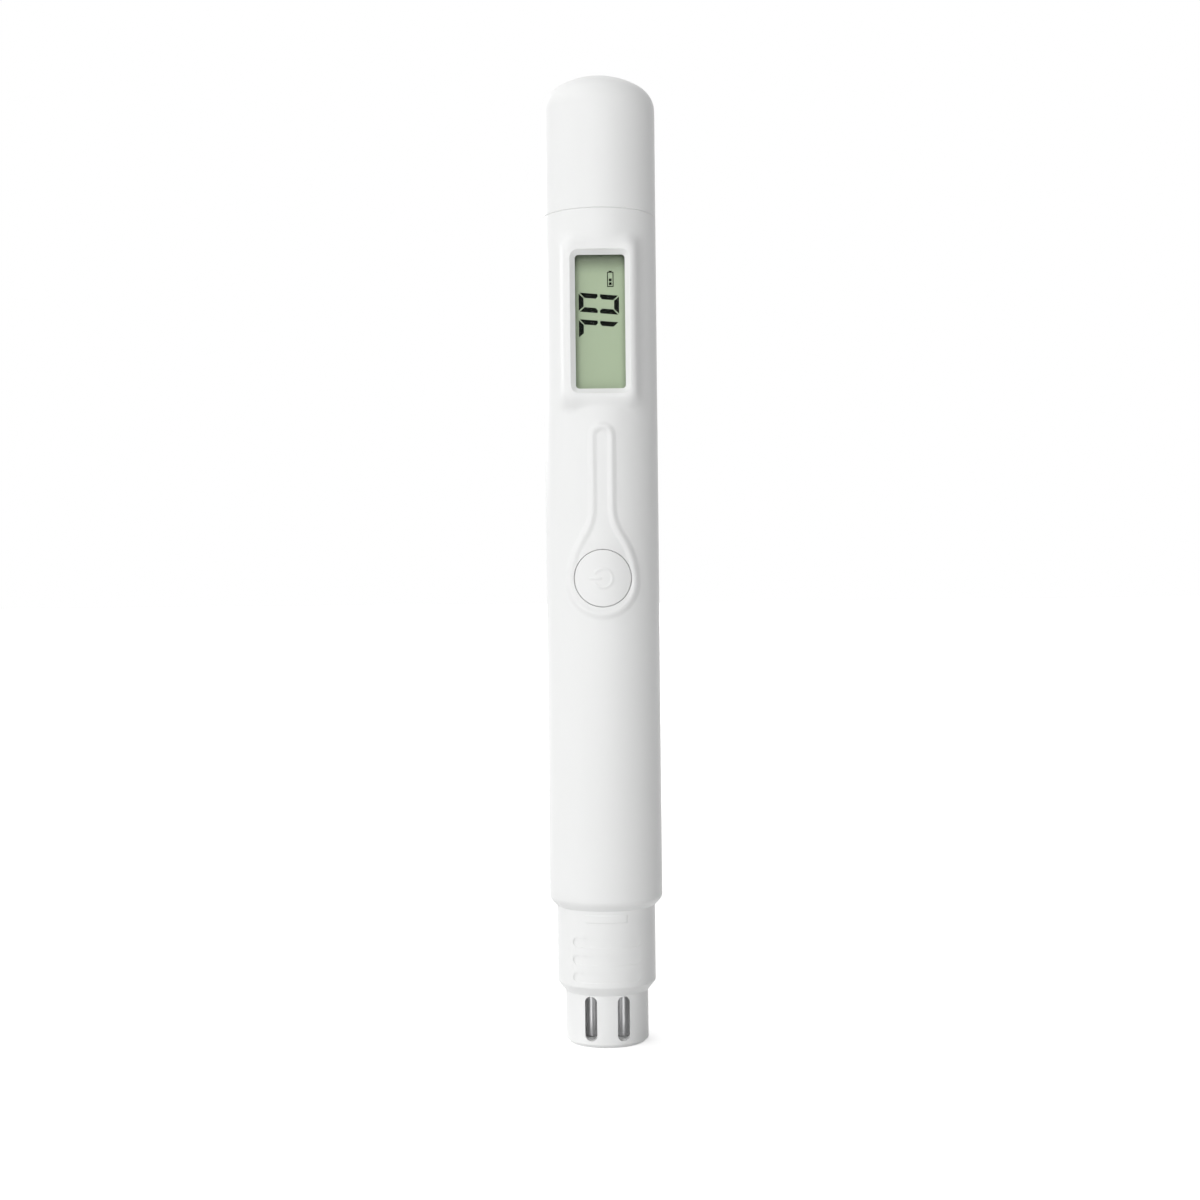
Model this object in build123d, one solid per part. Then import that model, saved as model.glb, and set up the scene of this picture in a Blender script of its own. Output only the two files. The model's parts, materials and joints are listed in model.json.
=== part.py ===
from build123d import *
import os
from math import atan2, cos, degrees, radians, sin

# Pen-shaped water tester with a display, a push button and a two-electrode probe.
# Millimetres. +Z runs up the pen from the centre of the probe's flat tip, and the display faces -Y.

# Button cells and the head room round them set the pen's diameter
CELL_R = 5.8
CELL_H = 5.4
CELL_RIM = 0.9
CELL_STEP = 0.3
CELL_COUNT = 2
CELL_CLEARANCE = 0.1
CRADLE_WALL = 0.6
CAP_CLEARANCE = 0.25
CAP_WALL = 1.25

# Barrel
BARREL_WALL = 1.3
BARREL_END_Z = 19.3
BARREL_CHAMFER = 1.0
SEAM_Z = 116.7
SEAM_CHAMFER = 0.12

# Cap over the cells
DOME_H = 4.9
DOME_KNUCKLE = 0.735
CAP_SHOULDER = 0.9
CAP_MOUTH_CHAMFER = 0.3
CAP_HEAD_ROOM = 0.2

# Bezel round the display
WINDOW_DROP = 15.7
VIEW_W = 6.9
VIEW_H = 18.5
BEZEL_PROUD = 0.1
BEZEL_LIP = 0.75
BEZEL_WALL = 0.7
BEZEL_END_WALL = 1.0
BEZEL_CORNER_R = 1.6
BEZEL_EDGE_R = 0.55
BEZEL_SIDE_SLOPE = 1.25
BEZEL_END_SLOPE = 3.0
BEZEL_DEPTH = 3.1
BEVEL_RUN = 0.65
BEVEL_LAND = 0.15
VIEW_CORNER_R = 0.5

# Display stack, from the outside in
TAPE_T = 0.1
TAPE_W = 0.45
LENS_T = 0.8
LENS_GAP = 0.05
GLASS_W = 8.1
GLASS_H = 20.2
GLASS_T = 0.55
GLASS_LEDGE = 2.0
POLARISER_T = 0.12
POLARISER_INSET = 0.15
POCKET_CLEARANCE = 0.05
ZEBRA_T = 1.2
ZEBRA_INSET = 0.45
FRAME_WALL = 0.7
FRAME_PLATE = 0.6
PEG_R = 0.6
PEG_LENGTH = 1.3

# Push button and the raised spoon-shaped bead round it
BUTTON_Z = 65.5
BUTTON_R = 3.95
BUTTON_GAP = 0.12
BUTTON_TRAVEL = 0.3
FLANGE_OVERLAP = 0.6
FLANGE_T = 0.8
FLANGE_GAP = 0.05
STEM_R = 1.5
STEM_LENGTH = 0.68
PRESS_GAP = 0.05
BEAD_HEAD_R = 4.55
BEAD_BOTTOM = 5.05
BEAD_TOP = 21.0
BEAD_FLANK_R = 11.0
BEAD_FLANK_ANGLE = 30.0
BEAD_NECK_R = 7.0
BEAD_NECK_HALF = 1.35
BEAD_W = 1.3
BEAD_H = 0.28
BEAD_EDGE = 0.2

# Tactile switch
SWITCH_W = 6.0
SWITCH_COVER_T = 0.3
PLUNGER_R = 1.7
PLUNGER_OUT = 1.1
PLUNGER_FLANGE_R = 2.1
PLUNGER_FLANGE_T = 0.5
PLUNGER_GAP = 0.05
TERMINAL_W = 0.7
TERMINAL_T = 0.25
TERMINAL_REACH = 1.1
TERMINAL_PITCH = 4.5

# Circuit board
BOARD_T = 0.8
BOARD_SIDE_GAP = 0.4
BOARD_TAIL_W = 7.2
BOARD_TAIL_Z = 13.6
BOARD_END_GAP = 0.4
SOLDER_GAP = 0.02
CHIP_DROP = 7.0
CHIP_W = 7.0
CHIP_T = 1.4
CHIP_STANDOFF = 0.1
LEAD_COUNT = 8
LEAD_PITCH = 0.8
LEAD_W = 0.35
LEAD_T = 0.2
LEAD_REACH = 1.0
CRYSTAL_R = 1.0
CRYSTAL_LENGTH = 6.0
CRYSTAL_Z = 48.0
CRYSTAL_X = -3.2
SMALL_PART_W = 1.6
SMALL_PART_T = 0.6
SMALL_PART_H = 0.8
SMALL_PART_COLUMN_PITCH = 2.6
SMALL_PART_ROW_PITCH = 3.0
SMALL_PART_LOW_Z = 34.5
SMALL_PART_HIGH_Z = 54.5

# Screws that hold the board
LOWER_SCREW_Z = 43.0
SCREW_DROP = 2.9
SCREW_R = 0.7
SCREW_HEAD_R = 1.35
SCREW_HEAD_H = 0.8
SCREW_LENGTH = 4.5
SCREW_GAP = 0.03
SCREW_SOCKET_R = 0.6
SCREW_SOCKET_DEPTH = 0.45
BOSS_R = 1.6

# Chassis
CHASSIS_WALL = 1.0
CHASSIS_GAP = 0.05
PLUG_LENGTH = 3.7
NECK_H = 2.7
END_WALL = 1.0
RIB_T = 0.9
RIB_ZS = (34.0, 56.0, 74.0)
RIB_BOARD_GAP = 1.6
STRIP_W = 2.6
STRIP_T = 0.3
STRIP_GAP = 0.15
PLATE_R = 3.4

# Contact spring under the cells
SPRING_WIRE_R = 0.2
SPRING_BASE_R = 3.7
SPRING_TOP_R = 2.0
SPRING_RECESS = 1.4
SPRING_TURNS = 2.5
SPRING_BENDS = 10
SPRING_GAP = 0.05

# Seals
SEAL_R = 0.5
SEAL_GAP = 0.04
SEAL_SIDE_GAP = 0.12
NOSE_SEAL_R = 0.34
SEAL_Z = 0.95
NOSE_SEAL_UP = 3.8

# Probe
COLLAR_STEP = 1.05
COLLAR_Z = 8.6
PROBE_STEP = 1.1
PROBE_SHOULDER = 0.1
PROBE_TOP_Z = 7.35
COLLAR_EDGE_R = 0.4
TIP_CHAMFER = 0.5
TIP_FLOOR = 0.6
CAGE_WALL = 1.15
SEPTUM_TOP_Z = 12.4
SPIGOT_LENGTH = 7.5
SPIGOT_WALL = 1.1
SPIGOT_GAP = 0.03
SLOT_W = 1.68
SLOT_HIGH = 6.25
SLOT_Z = 0.95
GRIP_DEPTH = 0.12
GRIP_W = 9.4
GRIP_H = 1.3
GRIP_COUNT = 3
GRIP_PITCH = 2.45
GRIP_TOP_Z = 14.85

# Electrodes and temperature sensor
ELECTRODE_X = 2.28
ELECTRODE_R = 1.0
ELECTRODE_TOP_Z = 10.4
ELECTRODE_GAP = 0.02
ELECTRODE_END_GAP = 0.1
TAIL_R = 0.4
TAIL_TOP_Z = 16.6
SENSOR_R = 0.75
SENSOR_POCKET_GAP = 0.1
SENSOR_TIP_Z = 8.6
SENSOR_LEAD_R = 0.15
SENSOR_LEAD_X = 0.4
SENSOR_LEAD_TOP_Z = 15.5

# Worked out from the sizes above
CAP_IN_R = CELL_R + CELL_CLEARANCE + CRADLE_WALL + CAP_CLEARANCE
BARREL_R = CAP_IN_R + CAP_WALL
BARREL_IN_R = BARREL_R - BARREL_WALL
CRADLE_R = CAP_IN_R - CAP_CLEARANCE
CHASSIS_R = BARREL_IN_R - CHASSIS_GAP
NECK_R = CAP_IN_R - 2 * CHASSIS_GAP

CELL_FLOOR_Z = SEAM_Z + NECK_H
CELL_Z = CELL_FLOOR_Z + CELL_CLEARANCE
PLATE_Z = CELL_Z + CELL_COUNT * CELL_H
CRADLE_TOP_Z = PLATE_Z + STRIP_T + END_WALL
DOME_Z = CRADLE_TOP_Z + CAP_HEAD_ROOM
TOP_Z = DOME_Z + DOME_H

WINDOW_Z = SEAM_Z - WINDOW_DROP
BEZEL_Y = -(BARREL_R + BEZEL_PROUD)
LIP_Y = BEZEL_Y + BEZEL_LIP
LENS_Y = LIP_Y + TAPE_T
POLARISER_Y = LENS_Y + LENS_T + LENS_GAP
FRONT_GLASS_Y = POLARISER_Y + POLARISER_T
REAR_GLASS_Y = FRONT_GLASS_Y + GLASS_T
REFLECTOR_Y = REAR_GLASS_Y + GLASS_T
FRAME_Y = REFLECTOR_Y + POLARISER_T
POCKET_W = GLASS_W + 2 * POCKET_CLEARANCE
POCKET_H = GLASS_H + 2 * POCKET_CLEARANCE
BEZEL_W = POCKET_W + 2 * BEZEL_WALL
BEZEL_H = POCKET_H + 2 * BEZEL_END_WALL
GLASS_BOTTOM_Z = WINDOW_Z - GLASS_H / 2
UPPER_SCREW_Z = GLASS_BOTTOM_Z - SCREW_DROP
SCREW_ZS = LOWER_SCREW_Z, UPPER_SCREW_Z
CHIP_Z = UPPER_SCREW_Z - CHIP_DROP
ZEBRA_Z = GLASS_BOTTOM_Z + GLASS_LEDGE / 2
ZEBRA_W = GLASS_W - 2 * ZEBRA_INSET

COLLAR_R = BARREL_R - COLLAR_STEP
PROBE_R = COLLAR_R - PROBE_STEP

BOARD_BACK_Y = -(TAIL_R + SOLDER_GAP)
BOARD_Y = BOARD_BACK_Y - BOARD_T
BOARD_W = 2 * (CHASSIS_R - BOARD_SIDE_GAP)
SPIGOT_TOP_Z = BARREL_END_Z + SPIGOT_LENGTH
BOARD_Z = SPIGOT_TOP_Z + BOARD_END_GAP
PLUG_Z = SEAM_Z - PLUG_LENGTH
BOARD_TOP_Z = PLUG_Z - BOARD_END_GAP

FLANGE_R = BARREL_IN_R - FLANGE_GAP
STEM_BACK_Y = -(FLANGE_R - FLANGE_T) + STEM_LENGTH
PLUNGER_Y = STEM_BACK_Y + PRESS_GAP
SWITCH_Y = PLUNGER_Y + PLUNGER_OUT + SWITCH_COVER_T
STRIP_Y = CELL_R + CELL_CLEARANCE + STRIP_GAP
SPRING_RECESS_R = SPRING_BASE_R + 2 * SPRING_WIRE_R
STRIP_LOW_Y = SPRING_RECESS_R + 2 * STRIP_GAP


def rod(radius, low, high, x=0.0, y=0.0):
    """Upright round bar from height low to height high."""
    return Pos(x, y, (low + high) / 2) * Cylinder(radius, high - low)


def cross_rod(radius, front, back, x, z):
    """Round bar along Y, from front to back."""
    return Pos(x, (front + back) / 2, z) * Rot(90, 0, 0) * Cylinder(radius, back - front)


def block(width, front, back, low, high, x=0.0):
    """Box centred on x, between two depths and two heights."""
    return Pos(x, (front + back) / 2, (low + high) / 2) * Box(width, back - front, high - low)


def revolved(*points):
    """Solid of revolution about Z through (radius, height) points."""
    return revolve(Plane.XZ * make_face(Polyline(*points, close=True)), Axis.Z)


def panel(width, height, corner, depth, z):
    """Rounded rectangle facing the front, at one depth."""
    plane = Plane(origin=(0, depth, z), x_dir=(1, 0, 0), z_dir=(0, -1, 0))
    return plane * RectangleRounded(width, height, corner)


def ring(seal_radius, section, z):
    """Sealing ring lying flat, its section an octagon across the given radius."""
    outline = Pos(seal_radius, z) * RegularPolygon(section, 8, major_radius=False, rotation=22.5)
    return revolve(Plane.XZ * outline, Axis.Z)


def bead_outline():
    """Spoon shape, a round head at the button and a straight neck above it."""
    swing = radians(BEAD_FLANK_ANGLE)
    drop = (BEAD_FLANK_R + BEAD_NECK_R) * (1 - cos(swing))
    slant = (BEAD_HEAD_R - BEAD_NECK_HALF - drop) / sin(swing)
    head = JernArc((0, BUTTON_Z - BEAD_BOTTOM), (1, 0), BEAD_HEAD_R, 90)
    flank = JernArc(head @ 1, head % 1, BEAD_FLANK_R, BEAD_FLANK_ANGLE)
    taper = Line(flank @ 1, flank @ 1 + (flank % 1) * slant)
    hollow = JernArc(taper @ 1, taper % 1, BEAD_NECK_R, -BEAD_FLANK_ANGLE)
    neck = Line(hollow @ 1, (BEAD_NECK_HALF, BUTTON_Z + BEAD_TOP - BEAD_NECK_HALF))
    end = JernArc(neck @ 1, (0, 1), BEAD_NECK_HALF, 90)
    half = Curve() + [head, flank, taper, hollow, neck, end]
    return make_face(half + mirror(half, Plane.YZ))


def bead():
    """Low raised band that follows the spoon outline on the barrel's round front."""
    outline = bead_outline()
    band = offset(outline, BEAD_W / 2) - offset(outline, -BEAD_W / 2)
    wall = extrude(Plane.XZ * band, BARREL_R + 2 * BEAD_H)
    height = BUTTON_Z + BEAD_TOP / 2
    sleeve = Pos(0, 0, height) * (
        Cylinder(BARREL_R + BEAD_H, 2 * BEAD_TOP) - Cylinder(BARREL_R - BARREL_WALL / 2, 2 * BEAD_TOP)
    )
    strip = wall & sleeve
    crest = strip.faces().filter_by(GeomType.CYLINDER).filter_by(
        lambda face: abs(face.center().Y) > 0 and abs(face.radius - BARREL_R - BEAD_H) < BEAD_H / 4
    )
    return chamfer(crest.edges(), BEAD_EDGE)


def bezel_island():
    """Flat-fronted pad that carries the display, sloping down into the barrel all round."""
    slope_w, slope_h = 2 * BEZEL_SIDE_SLOPE, 2 * BEZEL_END_SLOPE
    front = panel(BEZEL_W, BEZEL_H, BEZEL_CORNER_R, BEZEL_Y, WINDOW_Z)
    back = panel(
        BEZEL_W + slope_w,
        BEZEL_H + slope_h,
        BEZEL_CORNER_R + BEZEL_SIDE_SLOPE,
        BEZEL_Y + BEZEL_DEPTH,
        WINDOW_Z,
    )
    pad = loft([front, back])
    rim = pad.faces().sort_by(Axis.Y)[0].edges()
    return fillet(rim, BEZEL_EDGE_R)


def bezel_opening():
    """Bevelled view opening in the bezel's lip."""
    run = 2 * BEVEL_RUN
    land_y = LIP_Y - BEVEL_LAND
    outer = panel(VIEW_W + run, VIEW_H + run, VIEW_CORNER_R + BEVEL_RUN, BEZEL_Y, WINDOW_Z)
    inner = panel(VIEW_W, VIEW_H, VIEW_CORNER_R, land_y, WINDOW_Z)
    straight = extrude(panel(VIEW_W, VIEW_H, VIEW_CORNER_R, LIP_Y, WINDOW_Z), BEVEL_LAND)
    return loft([outer, inner]) + straight


def make_barrel():
    skin = rod(BARREL_R, BARREL_END_Z, SEAM_Z)
    skin = chamfer(skin.edges().sort_by(Axis.Z)[0], BARREL_CHAMFER)
    skin = chamfer(skin.edges().sort_by(Axis.Z)[-1], SEAM_CHAMFER)
    skin += bezel_island()
    skin += bead()
    hollow = rod(BARREL_IN_R, BARREL_END_Z, SEAM_Z)
    low, high = WINDOW_Z - POCKET_H / 2, WINDOW_Z + POCKET_H / 2
    pocket = block(POCKET_W, LIP_Y, BOARD_Y, low, high)
    hole = cross_rod(BUTTON_R + BUTTON_GAP, -2 * BARREL_R, 0, 0, BUTTON_Z)
    return skin - hollow - pocket - bezel_opening() - hole


def domed_section():
    """Half section of the cap's outside, its dome a knuckle arc and a flatter crown arc."""
    knuckle_r = DOME_KNUCKLE * DOME_H
    reach = BARREL_R - knuckle_r
    crown_r = (reach**2 + DOME_H**2 - knuckle_r**2) / (2 * (DOME_H - knuckle_r))
    lean = degrees(atan2(crown_r - DOME_H, reach))
    knuckle = CenterArc((reach, DOME_Z), knuckle_r, 0, lean)
    crown = CenterArc((0, TOP_Z - crown_r), crown_r, lean, 90 - lean)
    rim = (BARREL_R - SEAM_CHAMFER, SEAM_Z), (BARREL_R, SEAM_Z + SEAM_CHAMFER)
    sides = Polyline(crown @ 1, (0, SEAM_Z), *rim, knuckle @ 0)
    return make_face(sides + knuckle + crown)


def make_cap():
    """Domed cap, hollow with sloping shoulders under the dome."""
    ceiling_z = TOP_Z - CAP_WALL
    shoulder = (DOME_H - CAP_WALL) * CAP_SHOULDER
    hollow = revolved(
        (0, SEAM_Z),
        (CAP_IN_R + CAP_MOUTH_CHAMFER, SEAM_Z),
        (CAP_IN_R, SEAM_Z + CAP_MOUTH_CHAMFER),
        (CAP_IN_R, DOME_Z),
        (CAP_IN_R - shoulder, ceiling_z),
        (0, ceiling_z),
    )
    return revolve(Plane.XZ * domed_section(), Axis.Z) - hollow


def make_button():
    """Round cap, flush with the barrel, with a curved flange behind the barrel's wall."""
    face = cross_rod(BUTTON_R, -BARREL_R, BOARD_Y, 0, BUTTON_Z)
    flange = cross_rod(BUTTON_R + FLANGE_OVERLAP, -BARREL_R, BOARD_Y, 0, BUTTON_Z)
    reach = 2 * BARREL_R
    low, high = BUTTON_Z - reach, BUTTON_Z + reach
    core = rod(FLANGE_R - FLANGE_T, low, high)
    solid = (face & rod(BARREL_R, low, high)) + (flange & rod(FLANGE_R, low, high)) - core
    return solid + cross_rod(STEM_R, -FLANGE_R, STEM_BACK_Y, 0, BUTTON_Z)


def make_window_tape():
    outer = panel(GLASS_W, GLASS_H, VIEW_CORNER_R, LENS_Y, WINDOW_Z)
    inner = panel(GLASS_W - 2 * TAPE_W, GLASS_H - 2 * TAPE_W, VIEW_CORNER_R, LENS_Y, WINDOW_Z)
    return extrude(outer - inner, TAPE_T)


def make_display_window():
    return extrude(panel(GLASS_W, GLASS_H, VIEW_CORNER_R, LENS_Y + LENS_T, WINDOW_Z), LENS_T)


def make_front_polariser():
    inset = 2 * POLARISER_INSET
    face = panel(GLASS_W - inset, GLASS_H - inset, VIEW_CORNER_R, FRONT_GLASS_Y, WINDOW_Z)
    return extrude(face, POLARISER_T)


def make_front_glass():
    return block(GLASS_W, FRONT_GLASS_Y, REAR_GLASS_Y, GLASS_BOTTOM_Z, GLASS_BOTTOM_Z + GLASS_H)


def make_rear_glass():
    """Shorter than the front glass, so that the front one keeps a contact ledge at its foot."""
    return block(GLASS_W, REAR_GLASS_Y, REFLECTOR_Y, GLASS_BOTTOM_Z + GLASS_LEDGE, GLASS_BOTTOM_Z + GLASS_H)


def make_reflector():
    low, high = GLASS_BOTTOM_Z + GLASS_LEDGE + POLARISER_INSET, GLASS_BOTTOM_Z + GLASS_H - POLARISER_INSET
    return block(GLASS_W - 2 * POLARISER_INSET, REFLECTOR_Y, FRAME_Y, low, high)


def make_zebra_strip():
    low, high = ZEBRA_Z - ZEBRA_T / 2, ZEBRA_Z + ZEBRA_T / 2
    return block(ZEBRA_W, REAR_GLASS_Y, BOARD_Y, low, high)


def peg_places():
    """Where the display frame's two locating pegs pass through the board."""
    high = WINDOW_Z + GLASS_H / 2 - FRAME_WALL - PEG_R
    low = ZEBRA_Z + ZEBRA_T + FRAME_WALL + 2 * PEG_R
    return [(0.0, high), (0.0, low)]


def make_display_frame():
    low, high = GLASS_BOTTOM_Z, GLASS_BOTTOM_Z + GLASS_H
    shelf_z = ZEBRA_Z + ZEBRA_T / 2 + POCKET_CLEARANCE + FRAME_WALL
    frame = block(GLASS_W, FRAME_Y, BOARD_Y, low, high)
    frame -= block(GLASS_W - 2 * FRAME_WALL, FRAME_Y + FRAME_PLATE, BOARD_Y, shelf_z, high - FRAME_WALL)
    frame -= block(
        ZEBRA_W + 2 * POCKET_CLEARANCE,
        FRAME_Y,
        BOARD_Y,
        ZEBRA_Z - ZEBRA_T / 2 - POCKET_CLEARANCE,
        ZEBRA_Z + ZEBRA_T / 2 + POCKET_CLEARANCE,
    )
    for x, z in peg_places():
        frame += cross_rod(PEG_R, FRAME_Y + FRAME_PLATE, BOARD_Y + PEG_LENGTH, x, z)
    return frame


def make_circuit_board():
    board = block(BOARD_W, BOARD_Y, BOARD_BACK_Y, BOARD_Z, BOARD_TOP_Z)
    board += block(BOARD_TAIL_W, BOARD_Y, BOARD_BACK_Y, BOARD_TAIL_Z, BOARD_Z)
    for x, z in peg_places():
        board -= cross_rod(PEG_R + POCKET_CLEARANCE, BOARD_Y, BOARD_BACK_Y, x, z)
    for z in SCREW_ZS:
        board -= cross_rod(SCREW_R + 2 * SCREW_GAP, BOARD_Y, BOARD_BACK_Y, 0, z)
    return board


def make_screws():
    """Pan-head screws, driven from the front through the board."""
    screws = []
    top_y = BOARD_Y - SCREW_HEAD_H
    for z in SCREW_ZS:
        screw = cross_rod(SCREW_HEAD_R, top_y, BOARD_Y, 0, z)
        screw = chamfer(screw.edges().sort_by(Axis.Y)[0], SCREW_HEAD_H / 2)
        screw += cross_rod(SCREW_R, BOARD_Y, BOARD_Y + SCREW_LENGTH, 0, z)
        screw -= cross_rod(SCREW_SOCKET_R, top_y, top_y + SCREW_SOCKET_DEPTH, 0, z)
        screws.append(screw)
    return screws


def make_switch_body():
    half = SWITCH_W / 2
    body = block(SWITCH_W, SWITCH_Y, BOARD_Y, BUTTON_Z - half, BUTTON_Z + half)
    pocket_back = SWITCH_Y + PLUNGER_FLANGE_T + BUTTON_TRAVEL + 2 * PLUNGER_GAP
    return body - cross_rod(PLUNGER_FLANGE_R + PLUNGER_GAP, SWITCH_Y, pocket_back, 0, BUTTON_Z)


def make_switch_cover():
    half = SWITCH_W / 2
    cover = block(SWITCH_W, SWITCH_Y - SWITCH_COVER_T, SWITCH_Y, BUTTON_Z - half, BUTTON_Z + half)
    cover = chamfer(cover.edges().filter_by(Axis.Y), SWITCH_COVER_T)
    return cover - cross_rod(PLUNGER_R + PLUNGER_GAP, SWITCH_Y - SWITCH_COVER_T, SWITCH_Y, 0, BUTTON_Z)


def make_switch_plunger():
    foot_y = SWITCH_Y + PLUNGER_GAP
    plunger = cross_rod(PLUNGER_R, PLUNGER_Y, foot_y, 0, BUTTON_Z)
    return plunger + cross_rod(PLUNGER_FLANGE_R, foot_y, foot_y + PLUNGER_FLANGE_T, 0, BUTTON_Z)


def make_switch_terminals():
    """Four flat legs on the board, two at each side of the switch."""
    legs = []
    for side in (-1, 1):
        for end in (-1, 1):
            x = side * (SWITCH_W + TERMINAL_REACH) / 2
            z = BUTTON_Z + end * TERMINAL_PITCH / 2
            low, high = z - TERMINAL_W / 2, z + TERMINAL_W / 2
            legs.append(block(TERMINAL_REACH, BOARD_Y - TERMINAL_T, BOARD_Y, low, high, x))
    return legs


def make_controller_chip():
    half = CHIP_W / 2
    foot = BOARD_Y - CHIP_STANDOFF
    chip = block(CHIP_W, foot - CHIP_T, foot, CHIP_Z - half, CHIP_Z + half)
    return chamfer(chip.faces().sort_by(Axis.Y)[0].edges(), CHIP_STANDOFF)


def make_chip_leads():
    """Gull-wing leads along the chip's two long sides."""
    knee_y = BOARD_Y - CHIP_STANDOFF - CHIP_T / 2
    leads = []
    for side in (-1, 1):
        for k in range(LEAD_COUNT):
            z = CHIP_Z + (k - (LEAD_COUNT - 1) / 2) * LEAD_PITCH
            low, high = z - LEAD_W / 2, z + LEAD_W / 2
            inner = side * (CHIP_W + LEAD_T + LEAD_REACH / 2) / 2
            arm = block(LEAD_T + LEAD_REACH / 2, knee_y, knee_y + LEAD_T, low, high, inner)
            knee_x = side * (CHIP_W + LEAD_REACH + LEAD_T) / 2
            leg = block(LEAD_T, knee_y, BOARD_Y, low, high, knee_x)
            foot_x = side * (CHIP_W / 2 + LEAD_REACH * 3 / 4 + LEAD_T / 2)
            foot = block(LEAD_REACH / 2 + LEAD_T, BOARD_Y - LEAD_T, BOARD_Y, low, high, foot_x)
            leads.append(arm + leg + foot)
    return leads


def make_crystal():
    low = CRYSTAL_Z - CRYSTAL_LENGTH / 2
    can = rod(CRYSTAL_R, low, low + CRYSTAL_LENGTH, CRYSTAL_X, BOARD_Y - CRYSTAL_R)
    return chamfer(can.edges().sort_by(Axis.Z)[-1], CRYSTAL_R / 4)


def make_small_parts():
    """Surface-mount resistors and capacitors on the board's front."""
    half = SMALL_PART_H / 2
    rows = SMALL_PART_LOW_Z, SMALL_PART_LOW_Z + SMALL_PART_ROW_PITCH, SMALL_PART_HIGH_Z
    return [
        block(SMALL_PART_W, BOARD_Y - SMALL_PART_T, BOARD_Y, z - half, z + half, x)
        for z in rows
        for x in (-SMALL_PART_COLUMN_PITCH, 0, SMALL_PART_COLUMN_PITCH)
    ]


def contact_run(width, margin):
    """The positive contact's way from the top cell down to the board, with a margin all round it."""
    half = STRIP_T / 2
    step_z = CELL_FLOOR_Z - STRIP_GAP - half
    foot_z = PLUG_Z - STRIP_GAP - half
    corners = [(0, PLATE_Z + half), (STRIP_Y + half, PLATE_Z + half), (STRIP_Y + half, step_z),
               (STRIP_LOW_Y + half, step_z), (STRIP_LOW_Y + half, foot_z), (BOARD_BACK_Y + half, foot_z)]
    run = Part()
    for (y_a, z_a), (y_b, z_b) in zip(corners, corners[1:]):
        front, back = sorted((y_a, y_b))
        low, high = sorted((z_a, z_b))
        reach = half + margin
        run += block(width + 2 * margin, front - reach, back + reach, low - reach, high + reach)
    return run


def make_chassis():
    """Half-round spine with screw bosses and ribs, a sealed plug and neck, and the open cell cradle."""
    behind = block(4 * BARREL_R, BOARD_BACK_Y, 2 * BARREL_R, 0, 2 * TOP_Z)
    spine_in_r = CHASSIS_R - CHASSIS_WALL
    spine = (rod(CHASSIS_R, BOARD_Z, PLUG_Z) - rod(spine_in_r, BOARD_Z, PLUG_Z)) & behind
    for z in RIB_ZS:
        rib = rod(CHASSIS_R, z - RIB_T / 2, z + RIB_T / 2)
        spine += rib & block(4 * BARREL_R, BOARD_BACK_Y + RIB_BOARD_GAP, 2 * BARREL_R, 0, 2 * TOP_Z)
    for z in SCREW_ZS:
        spine += cross_rod(BOSS_R, BOARD_BACK_Y, spine_in_r + CHASSIS_WALL / 2, 0, z)
    plug = rod(CHASSIS_R, PLUG_Z, SEAM_Z) + rod(NECK_R, SEAM_Z, CELL_FLOOR_Z)
    seal_low, seal_high = SEAM_Z + SEAL_Z - SEAL_R - SEAL_SIDE_GAP, SEAM_Z + SEAL_Z + SEAL_R + SEAL_SIDE_GAP
    groove_r = CAP_IN_R - SEAL_GAP - 2 * SEAL_R - SEAL_GAP / 2
    plug -= rod(2 * BARREL_R, seal_low, seal_high) - rod(groove_r, seal_low, seal_high)
    plug -= rod(SPRING_RECESS_R, CELL_FLOOR_Z - SPRING_RECESS, CELL_FLOOR_Z)
    cradle = rod(CRADLE_R, CELL_FLOOR_Z, CRADLE_TOP_Z)
    cradle -= rod(CELL_R + CELL_CLEARANCE, CELL_FLOOR_Z, PLATE_Z + STRIP_T)
    cradle &= block(4 * BARREL_R, 0, 2 * BARREL_R, 0, 2 * TOP_Z)
    slot_w = STRIP_W + 2 * STRIP_GAP
    slot_z = CELL_FLOOR_Z - STRIP_T - 2 * STRIP_GAP
    cradle -= block(slot_w, CELL_R, 2 * BARREL_R, CELL_FLOOR_Z, PLATE_Z + STRIP_T)
    plug -= block(slot_w, STRIP_Y - STRIP_GAP, 2 * BARREL_R, slot_z, CELL_FLOOR_Z)
    chassis = spine + plug + cradle - contact_run(STRIP_W, STRIP_GAP)
    chassis -= rod(SPRING_WIRE_R + SPRING_GAP, PLUG_Z, CELL_FLOOR_Z, SPRING_BASE_R, 0)
    for z in SCREW_ZS:
        chassis -= cross_rod(SCREW_R + SCREW_GAP, BOARD_BACK_Y, BOARD_Y + SCREW_LENGTH + SCREW_R, 0, z)
    return chassis


def make_contact_strip():
    """Positive contact: a round pad on the top cell and one bent strip from it to the board."""
    return rod(PLATE_R, PLATE_Z, PLATE_Z + STRIP_T) + contact_run(STRIP_W, 0)


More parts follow.
